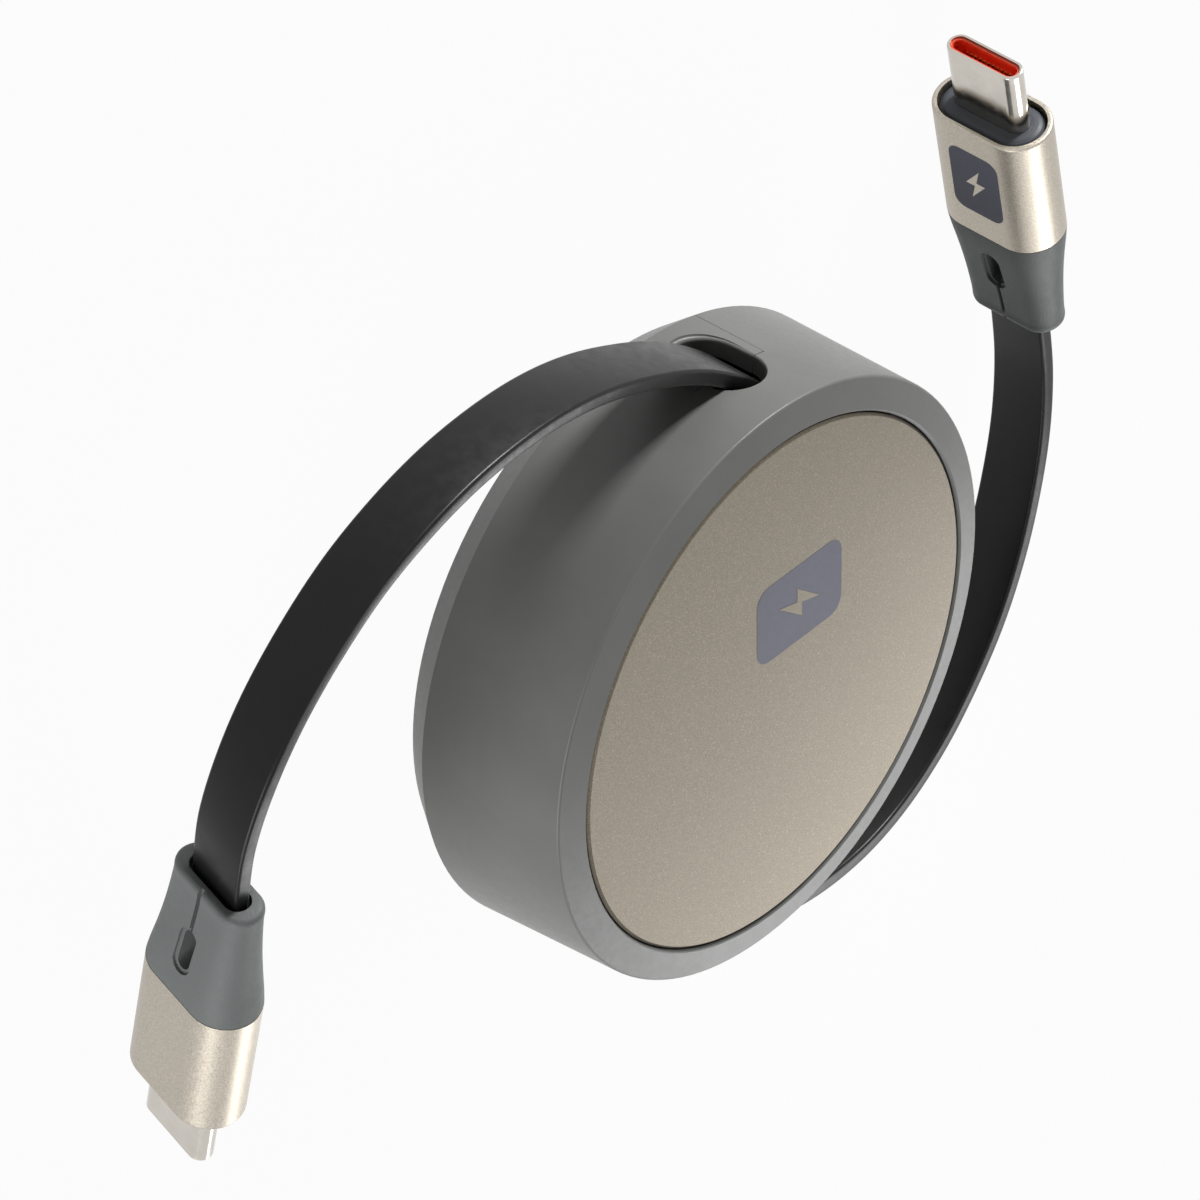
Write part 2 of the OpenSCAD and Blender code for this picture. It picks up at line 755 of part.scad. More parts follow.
// Rings of the boot: its rounded end, then its waisted sides up to the sleeve
function boot_rings() = concat(
    [for (i = [0 : boot_round_steps])
        let (a = 90 * i / boot_round_steps, inset = boot_round * (1 - sin(a)))
        [for (q = bar_outline(boot_end_w - 2 * inset, boot_end_t - 2 * inset))
            [q[0], q[1], boot_round * (1 - cos(a))]]],
    [for (s = boot_shares)
        [for (q = bar_outline(boot_end_w + s[1] * (sleeve_w - boot_end_w),
            boot_end_t + s[2] * (sleeve_t - boot_end_t)))
            [q[0], q[1], s[0] * boot_l]]]);

module plug_boot() {
    color("#5a5f61")
        difference() {
            union() {
                loft(boot_rings());
                translate([0, 0, boot_l])
                    linear_extrude(tenon_l)
                        bar_2d(core_w, core_t);
            }
            translate([0, 0, lead_seat / 2 - cut / 2])
                cube([lead_w + 2 * fit_gap, lead_t + 2 * fit_gap, lead_seat + cut], center = true);
            translate([0, 0, mouth_sink / 2 - cut / 2])
                cube([lead_w + 2 * mouth_gap, lead_t + 2 * mouth_gap, mouth_sink + cut],
                    center = true);
            for (s = [0, 180])
                rotate([0, 0, s]) {
                    translate([0, lead_t / 2, pocket_from_end + pocket_l / 2])
                        rotate([-90, 0, 0])
                            linear_extrude(sleeve_t / 2)
                                rotate([0, 0, 90])
                                    bar_2d(pocket_l, pocket_w);
                    translate([-slit_w / 2, sleeve_t / 2 - slit_depth, -cut])
                        cube([slit_w, slit_depth + cut, pocket_from_end + pocket_w / 2 + cut]);
                }
        }
}

module left_shell() { on_plug(left_route, left_turn) plug_shell(); }
module left_insert() { on_plug(left_route, left_turn) plug_insert(); }
module left_contacts() { on_plug(left_route, left_turn) plug_contacts(); }
module left_collar() { on_plug(left_route, left_turn) plug_collar(); }
module left_sleeve() { on_plug(left_route, left_turn) plug_sleeve(); }
module left_boot() { on_plug(left_route, left_turn) plug_boot(); }
module left_board() { on_plug(left_route, left_turn) plug_board(); }
module right_shell() { on_plug(right_route, right_turn) plug_shell(); }
module right_insert() { on_plug(right_route, right_turn) plug_insert(); }
module right_contacts() { on_plug(right_route, right_turn) plug_contacts(); }
module right_collar() { on_plug(right_route, right_turn) plug_collar(); }
module right_sleeve() { on_plug(right_route, right_turn) plug_sleeve(); }
module right_boot() { on_plug(right_route, right_turn) plug_boot(); }
module right_board() { on_plug(right_route, right_turn) plug_board(); }

front_shell();
rear_cover();
face_plate();
plate_tape();
spindle();
spindle_screw();
lower_washer();
upper_washer();
spool();
spring_lid();
power_spring();
lead_winding();
ratchet_pawl();
pawl_pin();
pawl_spring();
left_lead();
right_lead();
left_shell();
left_insert();
left_contacts();
left_collar();
left_sleeve();
left_boot();
left_board();
right_shell();
right_insert();
right_contacts();
right_collar();
right_sleeve();
right_boot();
right_board();
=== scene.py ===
"""Looks of a retractable flat charging lead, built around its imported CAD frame."""

import json
import math

import bpy
import bmesh
from mathutils import Matrix, Vector


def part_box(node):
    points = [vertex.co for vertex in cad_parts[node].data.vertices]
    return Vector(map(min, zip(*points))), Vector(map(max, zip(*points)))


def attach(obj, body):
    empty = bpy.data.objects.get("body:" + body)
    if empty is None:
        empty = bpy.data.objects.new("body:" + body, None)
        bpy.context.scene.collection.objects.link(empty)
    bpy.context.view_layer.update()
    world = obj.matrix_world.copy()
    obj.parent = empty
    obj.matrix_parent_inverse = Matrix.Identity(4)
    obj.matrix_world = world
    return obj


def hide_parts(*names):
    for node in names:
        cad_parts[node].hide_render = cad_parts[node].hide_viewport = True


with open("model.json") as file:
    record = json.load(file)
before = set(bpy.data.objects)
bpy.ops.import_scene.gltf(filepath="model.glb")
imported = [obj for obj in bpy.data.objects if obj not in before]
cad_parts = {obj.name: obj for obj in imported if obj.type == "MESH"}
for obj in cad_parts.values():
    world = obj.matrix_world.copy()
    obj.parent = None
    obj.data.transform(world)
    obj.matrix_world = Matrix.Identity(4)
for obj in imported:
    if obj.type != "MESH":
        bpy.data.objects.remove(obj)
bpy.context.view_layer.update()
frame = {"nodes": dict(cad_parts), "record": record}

MM = 0.001
nodes = frame["nodes"]


# Camera: a long lens, with the sensor's width fitted across the frame

CAMERA_PLACE = (-0.62188, -0.00971, 0.37448)
CAMERA_RIGHT = (0.45398, 0.46103, 0.76247)
CAMERA_DOWN = (0.24800, -0.88730, 0.38884)
CAMERA_AHEAD = (0.85580, 0.01257, -0.51715)
LENS_MM = 240
SENSOR_MM = 36
CLIP = (0.02, 20)


def basis(x, y, z, place):
    """Matrix whose axes are the three directions, set at a place."""
    return Matrix((
        (x[0], y[0], z[0], place[0]),
        (x[1], y[1], z[1], place[1]),
        (x[2], y[2], z[2], place[2]),
        (0, 0, 0, 1)))


def add_camera():
    lens = bpy.data.cameras.new("camera")
    lens.lens = LENS_MM
    lens.sensor_width = SENSOR_MM
    lens.sensor_fit = "HORIZONTAL"
    lens.clip_start, lens.clip_end = CLIP
    camera = bpy.data.objects.new("camera", lens)
    camera.matrix_world = basis(
        CAMERA_RIGHT, -Vector(CAMERA_DOWN), -Vector(CAMERA_AHEAD), CAMERA_PLACE)
    bpy.context.scene.collection.objects.link(camera)
    bpy.context.scene.camera = camera


add_camera()


# Finishes: shader maths written as sums of sockets

class Value:
    """One output socket of a node tree, which sums and products can use."""

    def __init__(self, tree, socket):
        self.tree = tree
        self.socket = socket

    def math(self, operation, first, second):
        return self.tree.node("ShaderNodeMath", {"operation": operation}, {0: first, 1: second})

    def __add__(self, other):
        return self.math("ADD", self, other)

    def __mul__(self, other):
        return self.math("MULTIPLY", self, other)

    __radd__ = __add__
    __rmul__ = __mul__

    def most(self, other):
        return self.math("MAXIMUM", self, other)

    def ramp(self, low, high):
        """0 below low and 1 above high, with a soft step between."""
        return self.tree.node(
            "ShaderNodeMapRange", {"interpolation_type": "SMOOTHSTEP"},
            {0: self, 1: low, 2: high, 3: 0.0, 4: 1.0})


class Tree:
    """Node tree of a material or the world."""

    def __init__(self, holder):
        holder.use_nodes = True
        self.tree = holder.node_tree

    def fill(self, socket, value):
        """Links a value to an input socket, or sets a number or colour on it."""
        if isinstance(value, Value):
            self.tree.links.new(value.socket, socket)
        elif isinstance(value, tuple) and len(socket.default_value) > len(value):
            socket.default_value = (*value, 1.0)
        else:
            socket.default_value = value

    def node(self, kind, settings=None, inputs=None, output=0):
        """Any node, by its type, its settings and its inputs; gives one output back."""
        made = self.tree.nodes.new(kind)
        for label, value in (settings or {}).items():
            setattr(made, label, value)
        for label, value in (inputs or {}).items():
            self.fill(made.inputs[label], value)
        return Value(self, made.outputs[output])

    def in_view(self):
        """1 for rays that the camera, gloss or glass sends, else 0."""
        camera, gloss, glass = (
            self.node("ShaderNodeLightPath", output=f"Is {kind} Ray")
            for kind in ("Camera", "Glossy", "Transmission"))
        return camera.most(gloss).most(glass)


class Finish(Tree):
    """A material whose constants sit on the shader and whose variation comes from nodes."""

    def __init__(self, name, **constants):
        self.name = name
        self.material = bpy.data.materials.new(name)
        super().__init__(self.material)
        self.shader = self.tree.nodes["Principled BSDF"]
        for label, value in constants.items():
            self.set(label.replace("_", " "), value)

    def set(self, label, value):
        """Fills one of the shader's own inputs."""
        self.fill(self.shader.inputs[label], value)

    def place(self):
        """Coordinates of the row frame, in metres."""
        return self.node("ShaderNodeTexCoord", output="Object")

    def noise(self, size_mm, detail=3.0, roughness=0.55):
        """Grain whose largest features are about size_mm across."""
        at = self.node(
            "ShaderNodeVectorMath", {"operation": "MULTIPLY"},
            {0: self.place(), 1: (1 / (size_mm * MM),) * 3})
        return self.node(
            "ShaderNodeTexNoise", {},
            {"Vector": at, "Scale": 1.0, "Detail": detail, "Roughness": roughness})

    def mix(self, share, low, high):
        """Colour between low and high."""
        return self.node(
            "ShaderNodeMix", {"data_type": "RGBA"}, {0: share, 6: low, 7: high}, output=2)

    def bump(self, height, depth_mm, strength):
        """Relief of depth_mm where height is 1."""
        self.set("Normal", self.node(
            "ShaderNodeBump", {},
            {"Height": height, "Distance": depth_mm * MM, "Strength": strength}))


def drift(finish, colour, spread, size_mm):
    """Colour that drifts by spread, up and down, in soft patches."""
    low = tuple(c * (1 - spread) for c in colour)
    high = tuple(c * (1 + spread) for c in colour)
    return finish.mix(finish.noise(size_mm).ramp(0.3, 0.7), low, high)


def rough_about(grain, low, high, rough, spread):
    """Roughness round a middle value, which follows a grain between its low and high."""
    return grain.ramp(low, high) * spread + (rough - spread / 2)


def moulded(name, colour, rough, grain_mm, depth_mm, gloss=0.5):
    """Fine matt moulding with a spark-eroded grain."""
    finish = Finish(name, Metallic=0.0, Specular_IOR_Level=gloss)
    finish.set("Base Color", drift(finish, colour, 0.05, size_mm=9))
    finish.set("Roughness", rough_about(finish.noise(grain_mm * 3), 0.2, 0.8, rough, 0.08))
    finish.bump(finish.noise(grain_mm, detail=2), depth_mm, strength=0.6)
    return finish


def blasted_metal(name, colour, rough, grain_mm, painted_glint_share):
    """Anodised aluminium, bead blasted: dark and light grain, with painted glints, which are
    flecks of brighter base colour standing in for light sparkling off the blasted grain.
    """
    dark, light, glint_bright = (tuple(c * share for c in colour) for share in (0.75, 1.22, 1.9))
    finish = Finish(name, Metallic=1.0)
    grain = finish.noise(grain_mm, detail=2, roughness=0.7)
    # Painted glints: bright flecks in the base colour stand in for the sparkle of light on the
    # blasted metal, not a colour of the metal itself.
    painted_glint_fleck = finish.noise(grain_mm * 0.7, detail=1, roughness=0.5).ramp(0.60, 0.72)
    even = drift(finish, colour, 0.03, size_mm=14)
    grained = finish.mix(0.7, even, finish.mix(grain.ramp(0.3, 0.7), dark, light))
    finish.set("Base Color", finish.mix(painted_glint_fleck * painted_glint_share, grained, glint_bright))
    finish.set("Roughness", rough_about(grain, 0.25, 0.75, rough, 0.14))
    finish.bump(grain, 0.007, strength=0.3)
    return finish


def sheath(name, colour, rough):
    """Soft cable sheath with faint blotches and a slightly wavy skin."""
    finish = Finish(
        name, Metallic=0.0, Specular_IOR_Level=0.2, Sheen_Weight=0.1, Sheen_Roughness=0.3)
    finish.set("Base Color", drift(finish, colour, 0.12, size_mm=7))
    finish.set("Roughness", rough_about(finish.noise(1.2), 0.2, 0.8, rough, 0.12))
    finish.bump(finish.noise(1.6, detail=1), 0.02, strength=0.3)
    return finish


def polished(name, colour, rough):
    """Plated or turned metal with light handling marks, at its smoothest rough."""
    finish = Finish(name, Metallic=1.0)
    finish.set("Base Color", drift(finish, colour, 0.04, size_mm=2.5))
    finish.set("Roughness", finish.noise(0.8, detail=4).ramp(0.35, 0.8) * 0.10 + rough)
    finish.bump(finish.noise(0.5), 0.006, strength=0.3)
    return finish


MADE_FINISHES = (
    # name, colour, roughness, grain and its depth in millimetres, gloss
    moulded("case_grey", (0.165, 0.168, 0.162), 0.42, 0.20, 0.012, 0.3),
    moulded("boot_grey", (0.142, 0.153, 0.151), 0.56, 0.22, 0.06, 0.3),
    moulded("collar_dark", (0.062, 0.068, 0.080), 0.46, 0.2, 0.01, 0.3),
    moulded("mark_ink", (0.098, 0.100, 0.145), 0.5, 0.16, 0.01, 0.3),
    moulded("insert_orange", (0.72, 0.070, 0.025), 0.38, 0.2, 0.006),
    moulded("spool_white", (0.75, 0.73, 0.68), 0.4, 0.3, 0.01),
    moulded("tape_dark", (0.03, 0.03, 0.035), 0.8, 0.3, 0.03),
    moulded("board_green", (0.05, 0.20, 0.09), 0.3, 0.4, 0.01),
    # name, colour, roughness, grain in millimetres, share of painted glints
    blasted_metal("plate_champagne", (0.122, 0.106, 0.081), 0.40, 0.15, 0.8),
    blasted_metal("sleeve_champagne", (0.44, 0.40, 0.34), 0.40, 0.16, 0.3),
    # name, colour, roughness
    polished("shell_nickel", (0.56, 0.53, 0.48), 0.16),
    polished("contact_gold", (0.80, 0.60, 0.25), 0.2),
    polished("steel_bright", (0.60, 0.60, 0.60), 0.18),
    polished("spring_blue", (0.30, 0.32, 0.36), 0.22),
    sheath("lead_black", (0.007, 0.007, 0.007), 0.32),
)
finishes = {finish.name: finish.material for finish in MADE_FINISHES}

for part in frame["record"]["subparts"]:
    for slot in nodes[part["node"]].material_slots:
        slot.material = finishes[part["material_slot"]]


# Leads: one flat tube each, along the route of its CAD solid

LEFT_ROUTE = (
    (-0.003, 0.0221, 0.0101), (-0.011, 0.0221, 0.0101), (-0.0186, 0.0219, 0.0101),
    (-0.026, 0.0205, 0.0102), (-0.033, 0.0181, 0.0106), (-0.0396, 0.0152, 0.0112),
    (-0.0457, 0.0117, 0.012), (-0.0512, 0.0075, 0.0128), (-0.056, 0.0027, 0.0135),
    (-0.06, -0.0028, 0.0141), (-0.063, -0.009, 0.0145), (-0.0647, -0.0156, 0.0148),
    (-0.065, -0.022, 0.0148), (-0.0638, -0.0278, 0.0145), (-0.0608, -0.0328, 0.0136),
    (-0.0564, -0.0369, 0.0125))
RIGHT_ROUTE = (
    (0.003, -0.0221, 0.0101), (0.011, -0.0221, 0.0101), (0.0186, -0.0219, 0.0101),
    (0.0256, -0.0206, 0.0099), (0.032, -0.018, 0.0096), (0.0378, -0.0142, 0.0092),
    (0.0428, -0.0094, 0.0087), (0.0466, -0.0038, 0.0081), (0.049, 0.0026, 0.0075),
    (0.05, 0.0092, 0.0069), (0.0498, 0.0158, 0.0064), (0.0482, 0.0222, 0.006),
    (0.0454, 0.028, 0.0058), (0.0417, 0.0334, 0.0057), (0.037, 0.0383, 0.0056),
    (0.0312, 0.0424, 0.0057))
# Bearing from boot to tip, tilt of the tip upward, and twist, in degrees
LEFT_TURN = (-40.8, -13.7, -11)
RIGHT_TURN = (150.6, 2.8, 1.5)
LEAD_W = 6.2 * MM
LEAD_T = 1.6 * MM
LEAD_EDGE = 0.34 * MM
LEAD_SEAT = 11 * MM
RINGS_PER_SPAN = 6
CORNER_STEPS = 4
LEAD_SMOOTH_DEG = 50


def through(points, per_span):
    """Smooth curve through points of any dimension."""
    last = len(points) - 1
    slope = [
        [(b - a) / 2 for a, b in zip(points[max(i - 1, 0)], points[min(i + 1, last)])]
        for i in range(last + 1)]
    curve = []
    for k in range(last * per_span + 1):
        i = min(k // per_span, last - 1)
        u = k / per_span - i
        weights = (
            2 * u**3 - 3 * u**2 + 1, u**3 - 2 * u**2 + u, 3 * u**2 - 2 * u**3, u**3 - u**2)
        rows = zip(points[i], slope[i], points[i + 1], slope[i + 1])
        curve.append([sum(w * r for w, r in zip(weights, row)) for row in rows])
    return curve


def plug_frame(route, turn):
    """Matrix of a plug drawn upright from its boot's end: X across, Z towards the tip."""
    bearing, tilt, twist = (math.radians(v) for v in turn)
    along = Vector((
        math.cos(bearing) * math.cos(tilt), math.sin(bearing) * math.cos(tilt), math.sin(tilt)))
    side = Vector((-math.sin(bearing), math.cos(bearing), 0))
    across = math.cos(twist) * along.cross(side) + math.sin(twist) * side
    return basis(-across, along.cross(-across), along, Vector(route[-1]))


def rounded_outline(w, t, edge, steps):
    """Points round a bar of width w and thickness t, whose corners have radius edge."""
    outline = []
    for corner in range(4):
        cx = (w / 2 - edge) * (1, -1, -1, 1)[corner]
        cy = (t / 2 - edge) * (1, 1, -1, -1)[corner]
        for i in range(steps + 1):
            a = math.radians(90 * (corner + i / steps))
            outline.append((cx + edge * math.cos(a), cy + edge * math.sin(a)))
    return outline


def piece(name, points, faces, finish, smooth_deg=35):
    """A mesh piece of the object, shaded smooth up to an angle, in its finish's own slot."""
    mesh = bpy.data.meshes.new(name)
    mesh.from_pydata([tuple(p) for p in points], [], faces)
    made = bpy.data.objects.new(name, mesh)
    bpy.context.scene.collection.objects.link(made)
    tidy_mesh(mesh, smooth_deg)
    mesh.materials.append(finishes[finish])
    return made


def tidy_mesh(mesh, smooth_deg):
    """Turns the faces outward and marks the edges sharper than an angle."""
    work = bmesh.new()
    work.from_mesh(mesh)
    bmesh.ops.recalc_face_normals(work, faces=work.faces)
    limit = math.radians(smooth_deg)
    for face in work.faces:
        face.smooth = True
    for edge in work.edges:
        edge.smooth = not edge.is_manifold or edge.calc_face_angle(0.0) < limit
    work.to_mesh(mesh)
    work.free()


def tube_faces(rings, count):
    """Faces of a closed skin through rings of count points, with flat ends."""
    last = (rings - 1) * count
    faces = [tuple(range(count)), tuple(last + i for i in reversed(range(count)))]
    for low in range(0, last, count):
        for i in range(count):
            j = (i + 1) % count
            faces.append((low + i, low + count + i, low + count + j, low + j))
    return faces


def lead(name, route, turn):
    """Flat lead, and the points that it follows, from upright at the case into its boot."""
    centres = [Vector(p) for p in through(route, RINGS_PER_SPAN)]
    steps = len(centres) - 1
    plug = plug_frame(route, turn).to_3x3()
    plug_along, plug_across = plug.col[2], -plug.col[0]
    outline = rounded_outline(LEAD_W, LEAD_T, LEAD_EDGE, CORNER_STEPS)
    points = []
    for k, centre in enumerate(centres):
        if k == 0:
            along = Vector((math.copysign(1, route[0][0]), 0, 0))
        elif k == steps:
            along = plug_along
        else:
            along = (centres[k + 1] - centres[k - 1]).normalized()
        lean = Vector((0, 0, 1)).lerp(plug_across, k / steps)
        across = (lean - lean.dot(along) * along).normalized()
        through_it = along.cross(across)
        points += [centre + u * across + v * through_it for u, v in outline]
    centres.append(centres[-1] + LEAD_SEAT * plug_along)
    points += [p + LEAD_SEAT * plug_along for p in points[-len(outline):]]
    made = piece(
        name, points, tube_faces(len(centres), len(outline)), "lead_black", LEAD_SMOOTH_DEG)
    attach(made, "case")
    return made, centres


# Boots: a waisted soft moulding with a stepped pocket and a slit on both broad sides

# Lengths in millimetres; a pair is a width and a thickness or a length
BOOT_L = 12.9
BOOT_END = (9.9, 4.4)
SLEEVE = (12.4, 6.9)
# Share of the height, and how far width and thickness have come from BOOT_END to SLEEVE
BOOT_SHARES = (
    (0.06, 0, 0), (0.12, 0, 0), (0.3, 0.1, 0.16), (0.5, 0.27, 0.38), (0.7, 0.52, 0.66),
    (0.88, 0.82, 0.9), (1, 1, 1))
BOOT_ROUND = 0.5
ROUND_STEPS = 4
SHARE_STEPS = 4
SIDE_STEPS = 20
BOOT_SMOOTH_DEG = 30
BOOT_EDGE = 0.1
BOOT_EDGE_DEG = 40
TENON = 1.2
TENON_GAP = 0.62
POCKET = (1.5, 4.4)
POCKET_FROM_END = 5.3
POCKET_FLOOR = 0.7
STEP_WIDER = 0.38
STEP_DEPTH = 0.28
SLIT_W = 0.45
SLIT_FLOOR = 1.7
SLIT_TOP = 5.9
MOUTH = (7.1, 2.6)
MOUTH_EDGE = 1.2
MOUTH_DEPTH = 1.2
POCKET_STEPS = 10
MOUTH_STEPS = 8
SEAM_DEPTH = 0.16
SEAM_SLOPE = 0.1
# How far the cutters reach, past the broad sides and below the boot's end
CUT_OUT = 5
CUT_BELOW = -1


def bar_outline(w, t, steps):
    """Points round a bar with half-round ends."""
    outline = []
    for s in (1, -1):
        for i in range(steps + 1):
            a = math.radians(180 * i / steps - 90)
            outline.append((s * ((w - t) / 2 + math.cos(a) * t / 2), s * math.sin(a) * t / 2))
    return outline


def boot_sections():
    """Width, thickness and height of the boot's sections: end, sides, seam and tenon."""
    end_w, end_t = BOOT_END
    full_w, full_t = SLEEVE
    end = []
    for i in range(ROUND_STEPS + 1):
        a = math.radians(90 * i / ROUND_STEPS)
        inset = BOOT_ROUND * (1 - math.sin(a))
        end.append((end_w - 2 * inset, end_t - 2 * inset, BOOT_ROUND * (1 - math.cos(a))))
    sides = [
        (end_w + wide * (full_w - end_w), end_t + thick * (full_t - end_t),
         share * (BOOT_L - SEAM_SLOPE))
        for share, wide, thick in through(BOOT_SHARES, SHARE_STEPS)]
    seam = (full_w - 2 * SEAM_DEPTH, full_t - 2 * SEAM_DEPTH, BOOT_L)
    inner = (full_w - 2 * TENON_GAP, full_t - 2 * TENON_GAP)
    return end, sides, [seam, (*inner, BOOT_L), (*inner, BOOT_L + TENON)]


def half_thickness(z):
    """Half the boot's thickness at height z, in millimetres."""
    sides = boot_sections()[1]
    for (_, low_t, low), (_, high_t, high) in zip(sides, sides[1:]):
        if low <= z <= high:
            return (low_t + (z - low) / (high - low) * (high_t - low_t)) / 2
    return sides[0][1] / 2 if z < sides[0][2] else sides[-1][1] / 2


def prism(outline, floor):
    """Points and faces of a cutter: outline in X and Z, from Y = floor(z) outward."""
    points = [(x, floor(z), z) for x, z in outline] + [(x, CUT_OUT, z) for x, z in outline]
    return points, tube_faces(2, len(outline))


def oval(w, length, z_low, grow=0.0):
    """Upright oval whose lowest point is at z_low, grown outward by grow."""
    outline = bar_outline(length + 2 * grow, w + 2 * grow, POCKET_STEPS)
    return [(y, z_low + length / 2 + x) for x, y in outline]


def oblong(w, z_low, z_high):
    """Upright oblong of width w between two heights."""
    return [(x * w / 2, z) for x, z in ((-1, z_low), (1, z_low), (1, z_high), (-1, z_high))]


def boot(name, place):
    """Boot at a plug's place, carved by its pockets, slits and the lead's mouth."""
    sections = [section for group in boot_sections() for section in group]
    outlines = [bar_outline(w, t, SIDE_STEPS) for w, t, _ in sections]
    points = [(x, y, z) for outline, (_, _, z) in zip(outlines, sections) for x, y in outline]
    made = piece(
        name, points, tube_faces(len(sections), len(outlines[0])), "boot_grey", BOOT_SMOOTH_DEG)
    cuts = (
        prism(oval(*POCKET, POCKET_FROM_END), lambda z: POCKET_FLOOR),
        prism(
            oval(*POCKET, POCKET_FROM_END, STEP_WIDER),
            lambda z: half_thickness(z) - STEP_DEPTH),
        prism(oblong(SLIT_W, CUT_BELOW, SLIT_TOP), lambda z: SLIT_FLOOR))
    cutters = []
    for turn in (0, math.pi):
        around = Matrix.Rotation(turn, 4, "Z")
        for cut_points, cut_faces in cuts:
            cutters.append(([around @ Vector(p) for p in cut_points], cut_faces))
    mouth = rounded_outline(*MOUTH, MOUTH_EDGE, MOUTH_STEPS)
    cutters.append((
        [(x, y, z) for z in (CUT_BELOW, MOUTH_DEPTH) for x, y in mouth],
        tube_faces(2, len(mouth))))
    carve(made, cutters)
    made.data.transform(place @ Matrix.Scale(MM, 4))
    edge = made.modifiers.new("soft edges", "BEVEL")
    edge.width = BOOT_EDGE * MM
    edge.segments = 2
    edge.limit_method = "ANGLE"
    edge.angle_limit = math.radians(BOOT_EDGE_DEG)
    edge.use_clamp_overlap = True
    edge.harden_normals = False
    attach(made, "case")
    return made


def carve(made, cutters):
    """Cuts every cutter out of a piece, for good."""
    tools = []
    for k, (points, faces) in enumerate(cutters):
        tool = piece(f"{made.name}_cutter_{k}", points, faces, "boot_grey")
        cut = made.modifiers.new(f"cut {k}", "BOOLEAN")
        cut.object = tool
        cut.operation = "DIFFERENCE"
        cut.solver = "EXACT"
        tools.append(tool)
    bpy.context.view_layer.update()
    carved = bpy.data.meshes.new_from_object(
        made.evaluated_get(bpy.context.evaluated_depsgraph_get()))
    made.modifiers.clear()
    made.data = carved
    for tool in tools:
        bpy.data.objects.remove(tool)
    tidy_mesh(carved, BOOT_SMOOTH_DEG)


# Marks: plain printed fields with a charging bolt, on the face plate and the right sleeve

# Bolt's outline in shares of the field's width; other lengths in millimetres
BOLT = (
    (0.10, 0.34), (-0.20, -0.04), (-0.02, -0.04), (-0.10, -0.34), (0.20, 0.04), (0.02, 0.04))
INK_T = 0.02
FIELD_CORNER_STEPS = 6
# Width, height and corner radius of a field
PLATE_MARK = (8.4, 11.9, 1.7)
SLEEVE_MARK = (5.7, 8.2, 1.2)
# Middle of the plate's field in metres, the direction of its width, and the height of the
# sleeve's field above the boot's end
PLATE_MARK_PLACE = (-0.0032, 0.0073)
PLATE_MARK_ACROSS = (0.726, -0.688)
SLEEVE_MARK_Z = 20


def mark(name, metal, place, w, h, corner):
    """Ink field with a bolt in the metal under it."""
    made = []
    for part, outline, low, finish, slot in (
            ("field", rounded_outline(w, h, corner, FIELD_CORNER_STEPS), 0,
             "mark_ink", "collar_dark"),
            ("bolt", [(u * w, v * w) for u, v in BOLT], INK_T, metal, metal)):
        points = [(x, y, z) for z in (low, low + INK_T) for x, y in outline]
        faces = tube_faces(2, len(outline))
        layer = piece(f"{name}_{part}", points, faces, finish)
        layer.data.transform(place @ Matrix.Scale(MM, 4))
        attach(layer, "case")
        made.append(layer)
    return made


plate_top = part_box("face_plate")[1][2]
across_x, across_y = PLATE_MARK_ACROSS
mark(
    "plate_mark", "plate_champagne",
    basis((across_x, across_y, 0), (-across_y, across_x, 0), (0, 0, 1),
          (*PLATE_MARK_PLACE, plate_top)),
    *PLATE_MARK)
sleeve_mark = mark(
    "sleeve_mark", "sleeve_champagne",
    plug_frame(RIGHT_ROUTE, RIGHT_TURN) @ basis(
        (-1, 0, 0), (0, 0, 1), (0, 1, 0), (0, SLEEVE[1] / 2 * MM, SLEEVE_MARK_Z * MM)),
    *SLEEVE_MARK)


# Both hands: lead and boot in place of their CAD solids, and the cord that they make

for hand, route, turn, marks in (
        ("left", LEFT_ROUTE, LEFT_TURN, []), ("right", RIGHT_ROUTE, RIGHT_TURN, sleeve_mark)):
    tube, centres = lead(f"{hand}_flat_lead", route, turn)
    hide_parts(f"{hand}_lead")
    moulding = boot(f"{hand}_soft_boot", plug_frame(route, turn))
    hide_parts(f"{hand}_boot")


# Slots: lips rounded over by a flared cutter on the shell and the rear cover

# Lengths in millimetres; the bearing is the left slot's, and the right one is opposite
SLOT_W = 6.8
SLOT_H = 9.2
SLOT_MIDDLE = 9.9
SLOT_BEARING = 130.83
WALL_R = 29.75
LIP = 0.4
LIP_START_DEG = 12
LIP_STEPS = 9
LIP_SIDE_STEPS = 24
# How far the cutter reaches past the lip, sideways and out of the wall, and within it
FLARE_PAST = (0.3, 0.8)
FLARE_WITHIN = (0.1, 0.4)


def flare_profile():
    """How far the cutter's rings stand out from the slot's edge, and how deep they lie."""
    start = math.radians(LIP_START_DEG)
    rings = [(LIP + FLARE_PAST[0], -FLARE_PAST[1])]
    for i in range(LIP_STEPS + 1):
        a = start + (math.pi / 2 - start) * i / LIP_STEPS
        rings.append((LIP * (1 - math.sin(a)), LIP * (math.cos(start) - math.cos(a))))
    return rings + [(-FLARE_WITHIN[0], LIP + FLARE_WITHIN[1])]


def flare_cutter():
    """Closed solids that widen both slots towards the wall's face along a quarter circle."""
    profile = flare_profile()
    points, faces = [], []
    for half_turn in (0, 180):
        bearing = math.radians(SLOT_BEARING + half_turn)
        out = Vector((math.cos(bearing), math.sin(bearing), 0))
        side = Vector((-out.y, out.x, 0))
        first = len(points)
        for grow, depth in profile:
            outline = bar_outline(SLOT_H + 2 * grow, SLOT_W + 2 * grow, LIP_SIDE_STEPS)
            for z, t in outline:
                reach = math.sqrt(WALL_R ** 2 - t ** 2) - depth
                points.append(out * reach + side * t + Vector((0, 0, SLOT_MIDDLE + z)))
        skin = tube_faces(len(profile), len(outline))
        faces += [tuple(first + i for i in face) for face in skin]
    cutter = piece("slot_lips", [p * MM for p in points], faces, "case_grey")
    cutter.hide_render = True
    return cutter


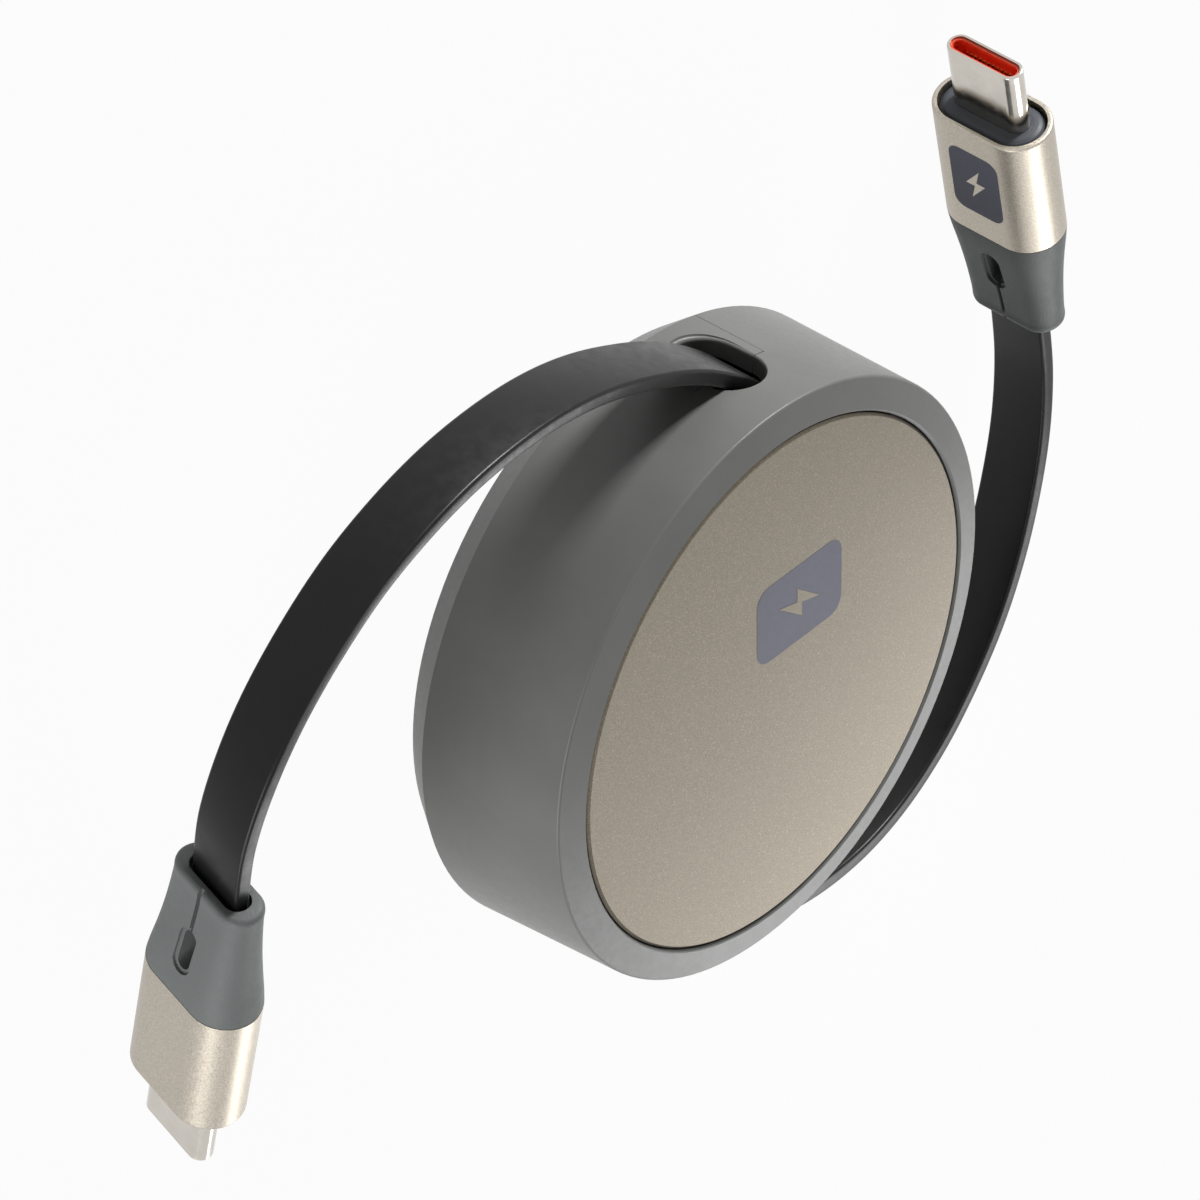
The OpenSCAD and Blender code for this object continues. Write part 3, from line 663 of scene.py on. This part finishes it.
lips = flare_cutter()
for name in ("front_shell", "rear_cover"):
    modifiers = nodes[name].modifiers
    soften = modifiers.new("slot lips", "BOOLEAN")
    soften.object = lips
    soften.operation = "DIFFERENCE"
    soften.solver = "EXACT"
    modifiers.new("crisp edges", "EDGE_SPLIT").split_angle = math.radians(LIP_START_DEG)
    modifiers.new("even shading", "WEIGHTED_NORMAL")


# Stage: a pale floor, a white surround and soft lamps

FLOOR_HALF = 6.0
FLOOR_DROP = 0.00002
FLOOR_COLOUR = (0.42, 0.42, 0.42)
FLOOR_GLOW = 0.96
AMBIENT = 0.06
LAMP_AIM = (0, 0, 0.01)
LAMPS = (
    # name, place, size, power in watts
    ("high lamp", (-0.12, 0.55, 0.09), (0.16, 0.12), 3.8),
    ("low lamp", (-0.27, -0.50, 0.12), (0.60, 0.30), 3.3),
    ("plate lamp", (0.086, -0.004, 0.043), (0.08, 0.03), 0.028),
    ("rim lamp", (0.45, -0.20, 0.32), (0.25, 0.25), 1.0),
)


def add_floor():
    """Pale floor that keeps a light shadow and shows nearly white to camera and gloss."""
    mesh = bpy.data.meshes.new("floor")
    signs = ((-1, -1), (1, -1), (1, 1), (-1, 1))
    corners = [(x * FLOOR_HALF, y * FLOOR_HALF, 0) for x, y in signs]
    mesh.from_pydata(corners, [], [(0, 1, 2, 3)])
    material = bpy.data.materials.new("pale_floor")
    tree = Tree(material)
    bare = tree.node("ShaderNodeBsdfDiffuse", inputs={"Color": FLOOR_COLOUR})
    white = tree.node("ShaderNodeEmission", inputs={"Strength": 1.0})
    skin = tree.node(
        "ShaderNodeMixShader", inputs={0: tree.in_view() * FLOOR_GLOW, 1: bare, 2: white})
    tree.fill(tree.tree.nodes["Material Output"].inputs["Surface"], skin)
    mesh.materials.append(material)
    floor = bpy.data.objects.new("floor", mesh)
    bpy.context.scene.collection.objects.link(floor)
    floor.location.z = -FLOOR_DROP


def add_world():
    """White surround for camera, gloss and glass, and a low level of light on the object."""
    world = bpy.data.worlds.new("surround")
    tree = Tree(world)
    bpy.context.scene.world = world
    background = tree.tree.nodes["Background"]
    tree.fill(background.inputs["Strength"], tree.in_view() * (1 - AMBIENT) + AMBIENT)
    tree.fill(background.inputs["Color"], (1.0, 1.0, 1.0))


def softbox(name, place, size, power):
    """Soft lamp of a size and power, which looks from its place at the object."""
    lamp = bpy.data.lights.new(name, "AREA")
    lamp.shape = "RECTANGLE"
    lamp.size, lamp.size_y = size
    lamp.energy = power
    holder = bpy.data.objects.new(name, lamp)
    holder.location = place
    heading = Vector(LAMP_AIM) - Vector(place)
    holder.rotation_euler = heading.to_track_quat("-Z", "Y").to_euler()
    bpy.context.scene.collection.objects.link(holder)


add_floor()
add_world()
for lamp_row in LAMPS:
    softbox(*lamp_row)
bpy.context.scene.view_settings.view_transform = "Standard"
